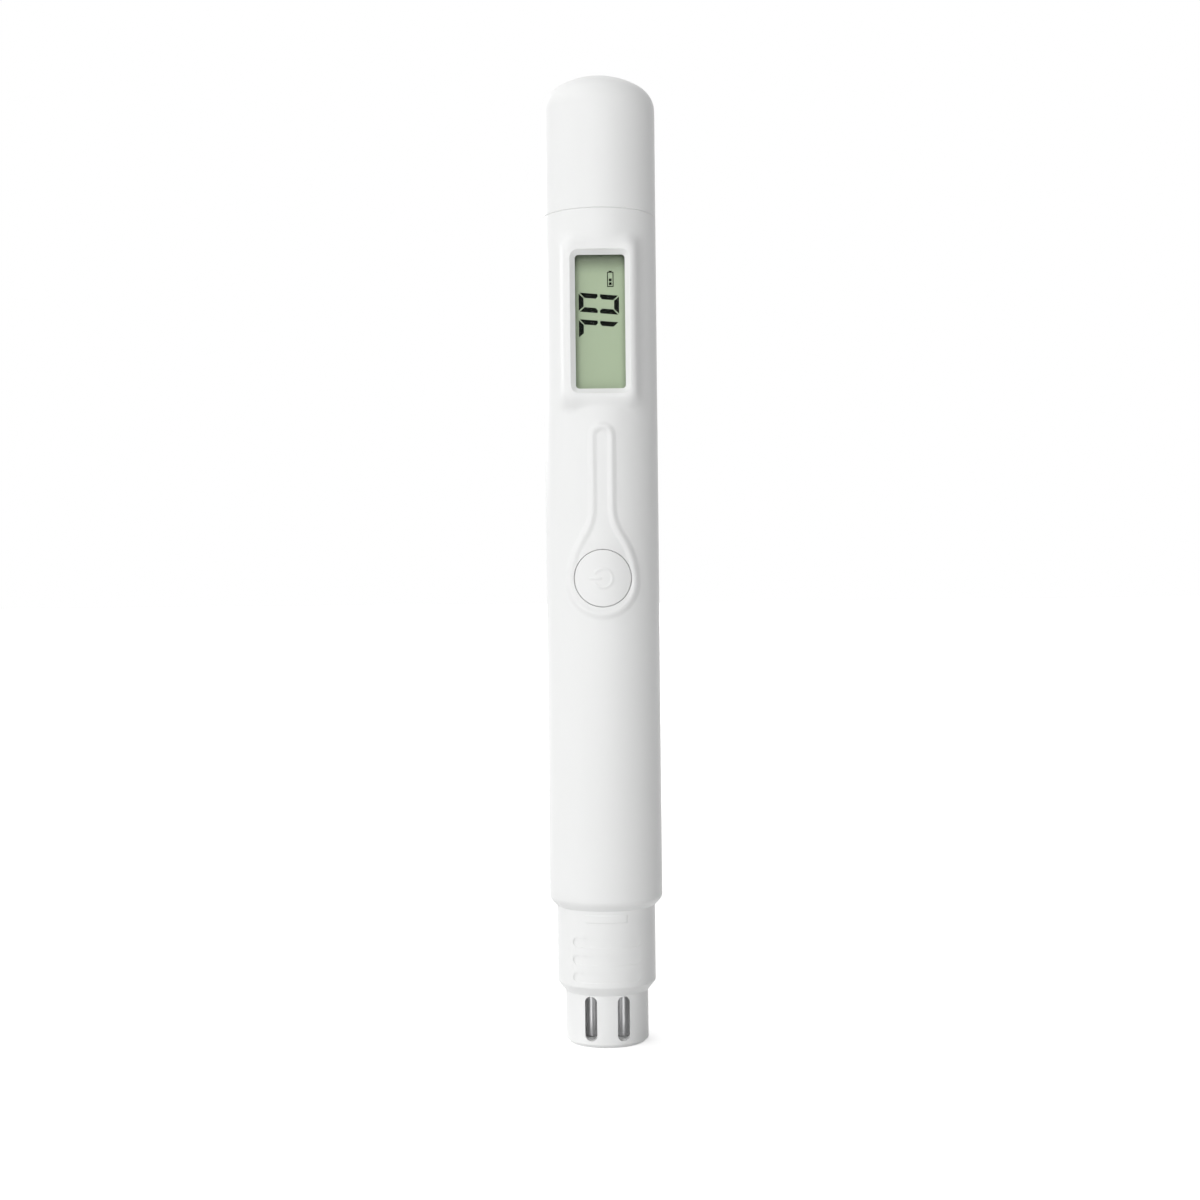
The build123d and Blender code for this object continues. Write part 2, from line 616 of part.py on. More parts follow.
def make_contact_spring():
    """Negative contact: a conical coil under the lower cell, with a leg down to the board."""
    base_z = CELL_FLOOR_Z - SPRING_RECESS + SPRING_WIRE_R + SPRING_GAP
    height = CELL_Z - SPRING_GAP - SPRING_WIRE_R - base_z
    steps = round(SPRING_TURNS * SPRING_BENDS)
    points = []
    for k in range(steps + 1):
        share = k / steps
        angle = 360 * SPRING_TURNS * share
        radius = SPRING_BASE_R + (SPRING_TOP_R - SPRING_BASE_R) * share
        points.append((radius * cos(radians(angle)), radius * sin(radians(angle)), base_z + height * share))
    path = Polyline(points)
    start = Plane(path @ 0, z_dir=path % 0)
    coil = sweep(start * RegularPolygon(SPRING_WIRE_R, 8), path, transition=Transition.RIGHT)
    leg = rod(SPRING_WIRE_R, BOARD_TOP_Z - 2 * SPRING_WIRE_R, base_z, SPRING_BASE_R, 0)
    elbow = Pos(SPRING_BASE_R, 0, base_z) * Sphere(SPRING_WIRE_R)
    return coil + leg + elbow


def make_cell(low):
    """Button cell, small face down: the can's rounded rim, a sealing step and the raised negative face."""
    step_r = CELL_R - CELL_RIM
    profile = revolved((0, low), (step_r, low), (step_r, low + CELL_STEP), (CELL_R, low + CELL_STEP),
                       (CELL_R, low + CELL_H), (0, low + CELL_H))
    rims = profile.edges().filter_by(GeomType.CIRCLE).group_by(SortBy.RADIUS)[-1]
    return chamfer(rims, CELL_STEP / 2)


def make_cap_seal():
    return ring(CAP_IN_R - SEAL_GAP - SEAL_R, SEAL_R, SEAM_Z + SEAL_Z)


def nose_seal_radius():
    return BARREL_IN_R - SEAL_GAP / 2 - NOSE_SEAL_R


def make_nose_seal():
    return ring(nose_seal_radius(), NOSE_SEAL_R, BARREL_END_Z + NOSE_SEAL_UP)


def nose_shell():
    """Outside of the probe: spigot, collar, cone, cage and chamfered tip."""
    spigot_r = BARREL_IN_R - SPIGOT_GAP
    body = revolved(
        (0, 0),
        (PROBE_R - TIP_CHAMFER, 0),
        (PROBE_R, TIP_CHAMFER),
        (PROBE_R, PROBE_TOP_Z),
        (PROBE_R + PROBE_SHOULDER, PROBE_TOP_Z),
        (COLLAR_R, COLLAR_Z),
        (COLLAR_R, BARREL_END_Z),
        (spigot_r, BARREL_END_Z),
        (spigot_r, SPIGOT_TOP_Z),
        (0, SPIGOT_TOP_Z),
    )
    rounds = body.edges().filter_by(GeomType.CIRCLE)
    return fillet([e for e in rounds if abs(e.center().Z - COLLAR_Z) < COLLAR_EDGE_R / 10], COLLAR_EDGE_R)


def grip_recess(z):
    """Shallow oval recess across the collar's front, its floor curved like the collar."""
    oval = extrude(Plane.XZ * Pos(0, z) * SlotOverall(GRIP_W, GRIP_H), 2 * COLLAR_R)
    return oval - rod(COLLAR_R - GRIP_DEPTH, z - GRIP_H, z + GRIP_H)


def flow_slot(x):
    """Upright slot with round ends, right through the cage from front to back."""
    middle = SLOT_Z + SLOT_HIGH / 2
    return extrude(Plane.XZ * Pos(x, middle) * SlotOverall(SLOT_HIGH, SLOT_W, 90), 2 * PROBE_R, both=True)


def make_probe_nose():
    nose = nose_shell()
    for k in range(GRIP_COUNT):
        nose -= grip_recess(GRIP_TOP_Z - k * GRIP_PITCH)
    nose -= rod(BARREL_IN_R - SPIGOT_WALL, SEPTUM_TOP_Z, SPIGOT_TOP_Z)
    nose -= rod(PROBE_R - CAGE_WALL, TIP_FLOOR, PROBE_TOP_Z)
    seal_z = BARREL_END_Z + NOSE_SEAL_UP
    half = NOSE_SEAL_R + SEAL_SIDE_GAP
    floor_r = nose_seal_radius() - NOSE_SEAL_R - SEAL_GAP / 2
    nose -= rod(BARREL_R, seal_z - half, seal_z + half) - rod(floor_r, seal_z - half, seal_z + half)
    for side in (-1, 1):
        x = side * ELECTRODE_X
        nose -= flow_slot(x)
        nose -= rod(ELECTRODE_R + ELECTRODE_GAP, PROBE_TOP_Z, ELECTRODE_TOP_Z, x)
        nose -= rod(TAIL_R + ELECTRODE_GAP, ELECTRODE_TOP_Z, SEPTUM_TOP_Z, x)
    return nose - rod(SENSOR_R + SENSOR_POCKET_GAP, SENSOR_TIP_Z - SENSOR_POCKET_GAP, SEPTUM_TOP_Z)


def make_electrode(side):
    x = side * ELECTRODE_X
    pin = rod(ELECTRODE_R, TIP_FLOOR + ELECTRODE_END_GAP, ELECTRODE_TOP_Z, x)
    return pin + rod(TAIL_R, ELECTRODE_TOP_Z, TAIL_TOP_Z, x)


def make_temperature_sensor():
    bead_z = SENSOR_TIP_Z + SENSOR_R
    sensor = Pos(0, 0, bead_z) * Sphere(SENSOR_R) + rod(SENSOR_R, bead_z, bead_z + SENSOR_R)
    for side in (-1, 1):
        sensor += rod(SENSOR_LEAD_R, bead_z, SENSOR_LEAD_TOP_Z, side * SENSOR_LEAD_X)
    return sensor


def save(name, shape):
    """Writes one node. A list of solids becomes one group."""
    solids = shape if isinstance(shape, list) else [shape]
    export_step(Compound(children=[s for part in solids for s in part.solids()]), f"parts/{name}.step")


def build():
    os.makedirs("parts", exist_ok=True)
    save("barrel", make_barrel())
    save("battery_cap", make_cap())
    save("push_button", make_button())
    save("window_tape", make_window_tape())
    save("display_window", make_display_window())
    save("front_polariser", make_front_polariser())
    save("lcd_front_glass", make_front_glass())
    save("lcd_rear_glass", make_rear_glass())
    save("lcd_reflector", make_reflector())
    save("zebra_strip", make_zebra_strip())
    save("display_frame", make_display_frame())
    save("circuit_board", make_circuit_board())
    save("board_screws", make_screws())
    save("switch_body", make_switch_body())
    save("switch_cover", make_switch_cover())
    save("switch_plunger", make_switch_plunger())
    save("switch_terminals", make_switch_terminals())
    save("controller_chip", make_controller_chip())
    save("chip_leads", make_chip_leads())
    save("clock_crystal", make_crystal())
    save("small_components", make_small_parts())
    save("chassis", make_chassis())
    save("positive_contact", make_contact_strip())
    save("negative_spring", make_contact_spring())
    for k in range(CELL_COUNT):
        save(f"button_cell_{k + 1}", make_cell(CELL_Z + k * CELL_H))
    save("cap_seal", make_cap_seal())
    save("nose_seal", make_nose_seal())
    save("probe_nose", make_probe_nose())
    save("electrode_left", make_electrode(-1))
    save("electrode_right", make_electrode(1))
    save("temperature_sensor", make_temperature_sensor())


build()
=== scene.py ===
import json
from math import cos, pi, radians, sin, tan

import bmesh
import bpy
import numpy as np
from mathutils import Matrix, Vector
from mathutils.geometry import delaunay_2d_cdt


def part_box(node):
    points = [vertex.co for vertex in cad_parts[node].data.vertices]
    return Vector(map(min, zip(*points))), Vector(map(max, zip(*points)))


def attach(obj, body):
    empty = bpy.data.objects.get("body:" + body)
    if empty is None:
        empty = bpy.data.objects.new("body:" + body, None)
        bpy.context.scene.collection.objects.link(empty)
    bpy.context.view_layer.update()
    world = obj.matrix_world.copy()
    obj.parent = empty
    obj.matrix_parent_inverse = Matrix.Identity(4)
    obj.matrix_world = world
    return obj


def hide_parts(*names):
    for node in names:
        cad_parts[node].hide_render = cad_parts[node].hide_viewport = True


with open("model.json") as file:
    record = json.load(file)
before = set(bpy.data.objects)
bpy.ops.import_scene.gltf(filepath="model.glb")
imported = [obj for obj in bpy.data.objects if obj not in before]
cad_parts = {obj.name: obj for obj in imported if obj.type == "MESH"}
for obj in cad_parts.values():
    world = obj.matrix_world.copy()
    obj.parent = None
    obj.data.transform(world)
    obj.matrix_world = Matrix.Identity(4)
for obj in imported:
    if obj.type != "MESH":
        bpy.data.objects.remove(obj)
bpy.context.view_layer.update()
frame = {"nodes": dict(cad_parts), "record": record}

# Dresses the pen-shaped water tester. Metres, +Z up the pen, and the display faces -Y.

MM = 0.001

# Sizes read from the frame
BARREL_LOW, BARREL_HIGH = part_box("barrel")
BARREL_R = BARREL_HIGH.x
CHASSIS_GAP = 0.05 * MM
BORE_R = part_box("chassis")[1].x + CHASSIS_GAP
LENS_LOW, LENS_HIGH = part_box("display_window")
FILM_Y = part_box("front_polariser")[0].y
BUTTON_LOW, BUTTON_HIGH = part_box("push_button")
STEM_BACK_Y = BUTTON_HIGH.y
BUTTON_Z = (BUTTON_LOW.z + BUTTON_HIGH.z) / 2
WINDOW_Z = (LENS_LOW.z + LENS_HIGH.z) / 2

# Bezel round the display
BEZEL_PROUD = 0.1 * MM
TAPE_T = 0.1 * MM
FRONT_Y = -(BARREL_R + BEZEL_PROUD)
LIP_BACK_Y = LENS_LOW.y - TAPE_T
LAND = 0.15 * MM
VIEW_W, VIEW_H, VIEW_CORNER = 6.9 * MM, 18.5 * MM, 0.5 * MM
BEVEL_RUN = 0.65 * MM
EDGE_BREAK = 0.07 * MM
POCKET_GAP = 0.05 * MM
POCKET_W = LENS_HIGH.x - LENS_LOW.x + 2 * POCKET_GAP
POCKET_H = LENS_HIGH.z - LENS_LOW.z + 2 * POCKET_GAP
POCKET_CORNER = 0.15 * MM
PAD_W, PAD_H, PAD_CORNER = 9.6 * MM, 22.3 * MM, 1.6 * MM
PAD_DEPTH = 3.1 * MM
PAD_SIDE_SLOPE, PAD_END_SLOPE = 1.25 / 3.1, 3.0 / 3.1
PAD_EDGE_BLEND = 0.85 * MM
PAD_FOOT_BLEND = 0.5 * MM

# Barrel ends
CHAMFER = 1.0 * MM
CHAMFER_BLEND = 0.5 * MM
SEAM_ROUND = 0.13 * MM

# Spoon-shaped bead round the button
BEAD_HEAD_R, BEAD_BOTTOM, BEAD_TOP = 4.55 * MM, 5.05 * MM, 21.0 * MM
BEAD_FLANK_R, BEAD_FLANK_ANGLE, BEAD_NECK_R = 11.0 * MM, radians(30), 7.0 * MM
BEAD_NECK_HALF = 1.35 * MM
BEAD_HALF_W, BEAD_H = 0.8 * MM, 0.27 * MM

# Button
BUTTON_R = 3.95 * MM
BUTTON_HOLE_R = BUTTON_R + 0.06 * MM
HOLE_EDGE_R = 0.08 * MM
RIM_R = BUTTON_HOLE_R + HOLE_EDGE_R
BUTTON_EDGE_R = 0.14 * MM
FLANGE_R = (BUTTON_HIGH.x - BUTTON_LOW.x) / 2
FLANGE_GAP = 0.05 * MM
FLANGE_T = 0.8 * MM
STEM_R = 1.5 * MM
SIGN_R, SIGN_GAP, SIGN_HALF_W, SIGN_H = 1.3 * MM, radians(38), 0.3 * MM, 0.09 * MM
SIGN_BAR = (0.35 * MM, 1.75 * MM)

# Raised bar on the collar
COLLAR_R = 6.95 * MM
BAR_HALF_W, BAR_HALF_H, BAR_CORNER = 2.95 * MM, 0.6 * MM, 0.25 * MM
BAR_Z, BAR_RISE, BAR_SINK = 18.2 * MM, 0.1 * MM, 0.05 * MM

# Battery sign above the reading
CHARGE_X, CHARGE_Z = 1.45 * MM, 107.0 * MM
CHARGE_HALF_W, CHARGE_HALF_H, CHARGE_LINE, CHARGE_GAP = 0.45 * MM, 1.05 * MM, 0.13 * MM, 0.01 * MM

# Numerals on the display. They read upwards, so a numeral's top points to -X.
DIGIT_H, DIGIT_W, STROKE = 5.6 * MM, 2.65 * MM, 0.68 * MM
DIGIT_PITCH, DIGIT_X, DIGIT_Z = 3.7 * MM, -0.17 * MM, 103.65 * MM
DIGIT_LEAN = tan(radians(5))
SEGMENT_GAP = 0.13 * MM
INK_T = 0.012 * MM
READING = "70"


def new_object(name, verts, faces):
    """Mesh object in the frame's own place, linked to the scene."""
    mesh = bpy.data.meshes.new(name)
    mesh.from_pydata([tuple(float(c) for c in v) for v in verts], [], faces)
    mesh.validate()
    obj = bpy.data.objects.new(name, mesh)
    bpy.context.scene.collection.objects.link(obj)
    return obj


def smooth(obj, angle=radians(32)):
    """Welds, turns the faces outwards and shades smooth up to an edge angle."""
    bm = bmesh.new()
    bm.from_mesh(obj.data)
    bmesh.ops.remove_doubles(bm, verts=bm.verts, dist=1e-6)
    bmesh.ops.recalc_face_normals(bm, faces=bm.faces)
    bm.to_mesh(obj.data)
    bm.free()
    for face in obj.data.polygons:
        face.use_smooth = True
    obj.data.set_sharp_from_angle(angle=angle)


# Shape of the barrel's outer surface


def smooth_min(a, b, blend):
    share = np.maximum(blend - np.abs(a - b), 0) / blend
    return np.minimum(a, b) - share * share * blend / 4


def smooth_max(a, b, blend):
    return -smooth_min(-a, -b, blend)


def walk(point, heading, moves, step=0.1 * MM):
    """Points along arcs and straight runs. A move is (radius, turn), or (None, length) if straight."""
    points = [np.array(point)]
    for radius, amount in moves:
        length = amount if radius is None else radius * abs(amount)
        count = max(2, round(length / step))
        turn = 0 if radius is None else amount / count
        for _ in range(count):
            heading += turn / 2
            points.append(points[-1] + length / count * np.array((cos(heading), sin(heading))))
            heading += turn / 2
    return np.array(points)


def bead_crest():
    """Crest of the spoon-shaped bead, seen from the front: a round head, two flanks and a straight neck."""
    drop = (BEAD_FLANK_R + BEAD_NECK_R) * (1 - cos(BEAD_FLANK_ANGLE))
    slant = (BEAD_HEAD_R - BEAD_NECK_HALF - drop) / sin(BEAD_FLANK_ANGLE)
    bends = (BEAD_FLANK_R + BEAD_NECK_R) * sin(BEAD_FLANK_ANGLE)
    rise = BEAD_HEAD_R + bends + slant * cos(BEAD_FLANK_ANGLE)
    neck = BEAD_BOTTOM + BEAD_TOP - BEAD_NECK_HALF - rise
    half = walk(
        (0, BUTTON_Z - BEAD_BOTTOM),
        0.0,
        [
            (BEAD_HEAD_R, pi / 2),
            (BEAD_FLANK_R, BEAD_FLANK_ANGLE),
            (None, slant),
            (BEAD_NECK_R, -BEAD_FLANK_ANGLE),
            (None, neck),
            (BEAD_NECK_HALF, pi / 2),
        ],
    )
    return np.concatenate([half, half[::-1] * (-1, 1)])


CREST = bead_crest()


def bead_height(x, z):
    """Height of the bead over the barrel, for arrays of places seen from the front."""
    near = np.full(x.shape, 1.0)
    for k in range(0, len(CREST), 2):
        near = np.minimum(near, np.hypot(x - CREST[k, 0], z - CREST[k, 1]))
    share = np.clip(near / BEAD_HALF_W, 0, 1)
    return BEAD_H / 2 * (1 + np.cos(pi * share))


def barrel_profile(z):
    """Radius of the round barrel at each height, with its bevelled foot and softened top edge."""
    foot = BARREL_R - CHAMFER + (z - BARREL_LOW.z)
    radius = smooth_min(np.full(z.shape, BARREL_R), foot, CHAMFER_BLEND)
    to_top = np.clip((BARREL_HIGH.z - z) / SEAM_ROUND, 0, 1)
    return radius - SEAM_ROUND * (1 - np.sqrt(1 - (1 - to_top) ** 2))


def rounded_box(x, z, half_w, half_h, corner):
    """Signed distance to a rounded rectangle."""
    a, b = np.abs(x) - half_w + corner, np.abs(z) - half_h + corner
    return np.hypot(np.maximum(a, 0), np.maximum(b, 0)) + np.minimum(np.maximum(a, b), 0) - corner


def skin(x, y, z):
    """Negative inside the barrel's outer surface, positive outside it."""
    round_part = np.hypot(x, y) - barrel_profile(z) - np.where(y < 0, bead_height(x, z), 0)
    depth = y - FRONT_Y
    side, end = PAD_W / 2 + depth * PAD_SIDE_SLOPE, PAD_H / 2 + depth * PAD_END_SLOPE
    pad = rounded_box(x, z - WINDOW_Z, side, end, PAD_CORNER + depth * PAD_SIDE_SLOPE)
    pad = smooth_max(pad, -depth, PAD_EDGE_BLEND)
    return np.where(depth < 1.5 * PAD_DEPTH, smooth_min(round_part, pad, PAD_FOOT_BLEND), round_part)


def solve(inside, outside, value):
    """Halves the span between two arrays until it closes on the surface."""
    for _ in range(30):
        middle = (inside + outside) / 2
        within = value(middle) < 0
        inside, outside = np.where(within, middle, inside), np.where(within, outside, middle)
    return (inside + outside) / 2


def on_skin(angle, z):
    """Points of the outer surface at angles from the front and at heights."""
    radius = solve(
        np.full(angle.shape, BORE_R),
        np.full(angle.shape, 1.3 * BARREL_R),
        lambda r: skin(r * np.sin(angle), -r * np.cos(angle), z),
    )
    return np.stack([radius * np.sin(angle), -radius * np.cos(angle), z], 1)


def angles_on_skin(x, z):
    """Angles from the front at which the outer surface lies behind the given places in the front view."""
    y = solve(
        np.full(x.shape, -3 * MM),
        np.full(x.shape, -1.3 * BARREL_R),
        lambda depth: skin(x, depth, z),
    )
    return np.arctan2(x, -y)


# Outlines seen from the front, each a list of (x, z)


def round_rect(width, height, corner, z=0.0, corner_steps=6, step=0.45 * MM):
    """Rounded rectangle that always has the same number of points, whatever its size."""
    points = []
    across, up = max(2, round(VIEW_W / step)), max(2, round(VIEW_H / step))
    half_x, half_z = width / 2 - corner, height / 2 - corner
    for k, (sx, sz) in enumerate(((1, 1), (-1, 1), (-1, -1), (1, -1))):
        for j in range(corner_steps + 1):
            turn = (k + j / corner_steps) * pi / 2
            points.append((sx * half_x + corner * cos(turn), sz * half_z + corner * sin(turn)))
        count = up if k % 2 else across
        for share in np.arange(1, count) / count:
            run = 1 - 2 * share
            if k % 2:
                points.append((sx * width / 2, sz * half_z * run))
            else:
                points.append((sx * half_x * run, sz * height / 2))
    return np.array(points) + (0, z)


def circle(radius, z, count=128):
    turn = np.arange(count) * 2 * pi / count
    return np.stack([radius * np.cos(turn), z + radius * np.sin(turn)], 1)


def triangulate(loops, loose, radius, rows, columns):
    """Triangles of an unrolled tube with holes.

    loops are closed outlines in (angle, z), loose are further points. Returns the points in (angle, z)
    and the triangles, the holes' triangles among them.
    """
    edge = [(a, z) for z in (rows[0], rows[-1]) for a in columns]
    edge += [(a, z) for a in (columns[0], columns[-1]) for z in rows[1:-1]]
    points = [tuple(p) for loop in loops for p in loop]
    links = []
    start = 0
    for loop in loops:
        count = len(loop)
        links += [(start + k, start + (k + 1) % count) for k in range(count)]
        start += count
    points += edge + [tuple(p) for p in loose]
    flat = [Vector((a * radius / MM, z / MM)) for a, z in points]
    verts, _, faces, _, _, _ = delaunay_2d_cdt(flat, links, [], 0, 1e-4)
    return np.array([(v.x * MM / radius, v.y * MM) for v in verts]), [tuple(f) for f in faces]


def outside_holes(places, faces, window, corner, hole_r):
    """Leaves out the triangles whose middle lies in the display's hole or the button's."""
    middles = np.array([places[list(f)].mean(0) for f in faces])
    x, y, z = middles.T
    in_window = rounded_box(x, z - WINDOW_Z, window[0] / 2, window[1] / 2, corner) < 0
    in_hole = np.hypot(x, z - BUTTON_Z) < hole_r
    gone = (y < 0) & (in_window | in_hole)
    return [f for f, cut in zip(faces, gone) if not cut]


class Shell:
    """Collects the vertices and faces of one closed mesh."""

    def __init__(self):
        self.verts = []
        self.faces = []

    def patch(self, verts, faces):
        start = len(self.verts)
        self.verts += [tuple(v) for v in verts]
        self.faces += [tuple(start + k for k in f) for f in faces]

    def bridge(self, *loops):
        """Quads between closed loops of points that all have the same count."""
        count = len(loops[0])
        start = len(self.verts)
        for loop in loops:
            self.verts += [tuple(p) for p in loop]
        for j in range(len(loops) - 1):
            for k in range(count):
                a, b = start + j * count + k, start + j * count + (k + 1) % count
                self.faces.append((a, b, b + count, a + count))


def at_depth(outline, y):
    """The outline as points at one depth."""
    return np.stack([outline[:, 0], np.full(len(outline), y), outline[:, 1]], 1)


def on_tube(outline, radius):
    """The outline as points on a tube round the axis, on the front side."""
    x = outline[:, 0]
    return np.stack([x, -np.sqrt(radius**2 - x**2), outline[:, 1]], 1)


# Barrel's shell

COLUMNS = np.linspace(-pi, pi, 121)
WINDOW_SPREAD = BEVEL_RUN + EDGE_BREAK
WINDOW_SIZE = VIEW_W + 2 * WINDOW_SPREAD, VIEW_H + 2 * WINDOW_SPREAD
WINDOW_CORNER = VIEW_CORNER + WINDOW_SPREAD
BEVEL_SIZE, BEVEL_CORNER = (VIEW_W + 2 * BEVEL_RUN, VIEW_H + 2 * BEVEL_RUN), VIEW_CORNER + BEVEL_RUN
PAD_RINGS = np.concatenate([np.arange(0.2, 2.4, 0.11), np.arange(2.5, 3.4, 0.3)]) * MM
PAD_REACH = 2.9 * MM
BEAD_ROWS = np.linspace(-1.1, 1.1, 15) * BEAD_HALF_W
FINE_LIMIT = 0.93 * BARREL_R
FINE_GAP, GRID_GAP, BORE_GRID_GAP = 0.1 * MM, 0.2 * MM, 0.3 * MM
POCKET_KEEP_R = 0.1 * MM


def points_on_detail():
    """Rows of points, in (angle, z), that follow the bezel and the bead."""
    places = []
    for grow in PAD_RINGS:
        ends = grow * (1 + 0.5 * np.clip(grow / (2 * MM), 0, 1))
        size = BEVEL_SIZE[0] + 2 * grow, BEVEL_SIZE[1] + 2 * ends
        places.append(round_rect(*size, BEVEL_CORNER + grow, WINDOW_Z))
    away = np.gradient(CREST, axis=0)
    away = np.stack([away[:, 1], -away[:, 0]], 1)
    away /= np.maximum(np.hypot(away[:, 0], away[:, 1])[:, None], 1e-9)
    places += [(CREST + away * shift)[::3] for shift in BEAD_ROWS]
    places = np.concatenate(places)
    places = places[np.abs(places[:, 0]) < FINE_LIMIT]
    places = places[np.hypot(places[:, 0], places[:, 1] - BUTTON_Z) > RIM_R + FINE_GAP]
    return np.stack([angles_on_skin(places[:, 0], places[:, 1]), places[:, 1]], 1)


def grid_off_detail(rows):
    """Even grid of points, in (angle, z), clear of the bezel, the bead and the button's hole."""
    angles, heights = (grid.ravel() for grid in np.meshgrid(COLUMNS[1:-1], rows[1:-1]))
    x, y, z = on_skin(angles, heights).T
    near_pad = rounded_box(x, z - WINDOW_Z, PAD_W / 2, PAD_H / 2, PAD_CORNER) < PAD_REACH
    near_bead = bead_height(x, z) > 0
    near_hole = np.hypot(x, z - BUTTON_Z) < RIM_R + GRID_GAP
    keep = (y >= 0) | ~(near_pad | near_bead | near_hole)
    return np.stack([angles[keep], heights[keep]], 1)


def grid_on_bore(rows):
    """Even grid of points on the bore, in (angle, z), clear of the pocket and the button's hole."""
    angles, heights = (grid.ravel() for grid in np.meshgrid(COLUMNS[1:-1:2], rows[1:-1]))
    x = BORE_R * np.sin(angles)
    to_pocket = rounded_box(x, heights - WINDOW_Z, POCKET_W / 2, POCKET_H / 2, POCKET_KEEP_R)
    near_pocket = to_pocket < BORE_GRID_GAP
    near_hole = np.hypot(x, heights - BUTTON_Z) < BUTTON_HOLE_R + BORE_GRID_GAP
    clear = (np.cos(angles) <= 0) | ~(near_pocket | near_hole)
    return np.stack([angles[clear], heights[clear]], 1)


def hole_rims():
    """Rings of points that round the edge of the button's hole."""
    rims = []
    for turn in radians(0), radians(30), radians(60), radians(90):
        ring = circle(BUTTON_HOLE_R + HOLE_EDGE_R * (1 - sin(turn)), BUTTON_Z)
        rim = on_skin(angles_on_skin(ring[:, 0], ring[:, 1]), ring[:, 1])
        rim[:, 1] += HOLE_EDGE_R * (1 - cos(turn))
        rims.append(rim)
    return rims


def make_barrel_skin():
    """The barrel's shell with its bezel, view opening, display pocket, bead and button hole."""
    foot, top = BARREL_LOW.z, BARREL_HIGH.z
    rows = np.concatenate([
        np.linspace(foot, foot + 1.4 * CHAMFER, 11),
        np.linspace(foot + 2 * CHAMFER, top - 1.0 * MM, 64),
        np.linspace(top - 0.4 * MM, top, 7),
    ])
    window = round_rect(*WINDOW_SIZE, WINDOW_CORNER, WINDOW_Z)
    hole = circle(RIM_R, BUTTON_Z)
    loops = [np.stack([angles_on_skin(line[:, 0], line[:, 1]), line[:, 1]], 1) for line in (window, hole)]
    loose = np.concatenate([points_on_detail(), grid_off_detail(rows)])
    points, faces = triangulate(loops, loose, BARREL_R, rows, COLUMNS)
    outer = on_skin(points[:, 0], points[:, 1])
    shell = Shell()
    shell.patch(outer, outside_holes(outer, faces, WINDOW_SIZE, WINDOW_CORNER, RIM_R))

    # Bore
    pocket = round_rect(POCKET_W, POCKET_H, POCKET_CORNER, WINDOW_Z)
    pocket_bore = on_tube(pocket, BORE_R)
    hole_bore = on_tube(circle(BUTTON_HOLE_R, BUTTON_Z), BORE_R)
    bore_loops = [np.stack([np.arctan2(p[:, 0], -p[:, 1]), p[:, 2]], 1) for p in (pocket_bore, hole_bore)]
    bore_rows = np.linspace(foot, top, 25)
    points, faces = triangulate(bore_loops, grid_on_bore(bore_rows), BORE_R, bore_rows, COLUMNS)
    inner = np.stack([BORE_R * np.sin(points[:, 0]), -BORE_R * np.cos(points[:, 0]), points[:, 1]], 1)
    shell.patch(inner, outside_holes(inner, faces, (POCKET_W, POCKET_H), POCKET_CORNER, BUTTON_HOLE_R))

    # View opening, bevel, lip and pocket walls, then the button's hole
    view = round_rect(VIEW_W, VIEW_H, VIEW_CORNER, WINDOW_Z)
    shell.bridge(
        on_skin(loops[0][:, 0], loops[0][:, 1]),
        at_depth(round_rect(*BEVEL_SIZE, BEVEL_CORNER, WINDOW_Z), FRONT_Y + EDGE_BREAK),
        at_depth(view, LIP_BACK_Y - LAND),
        at_depth(view, LIP_BACK_Y),
        at_depth(pocket, LIP_BACK_Y),
        pocket_bore,
    )
    shell.bridge(*hole_rims(), hole_bore)

    # Ring faces at the two ends
    around = COLUMNS[:-1]
    for z in (foot, top):
        rim = on_skin(around, np.full(len(around), z))
        bore = np.stack([BORE_R * np.sin(around), -BORE_R * np.cos(around), rim[:, 2]], 1)
        shell.bridge(rim, bore)
    obj = new_object("barrel_shell", shell.verts, shell.faces)
    smooth(obj)
    return obj


# Button


def sign_height(x, z):
    """Relief of a plain power sign on the button, its top towards -X."""
    across, up = z - BUTTON_Z, -x
    turn = np.arctan2(across, up)
    to_tip = np.hypot(np.abs(across) - SIGN_R * sin(SIGN_GAP), up - SIGN_R * cos(SIGN_GAP))
    ring = np.where(np.abs(turn) < SIGN_GAP, to_tip, np.abs(np.hypot(across, up) - SIGN_R))
    bar = np.hypot(across, up - np.clip(up, *SIGN_BAR))
    share = np.clip(np.minimum(ring, bar) / SIGN_HALF_W, 0, 1)
    return SIGN_H / 2 * (1 + np.cos(pi * share))


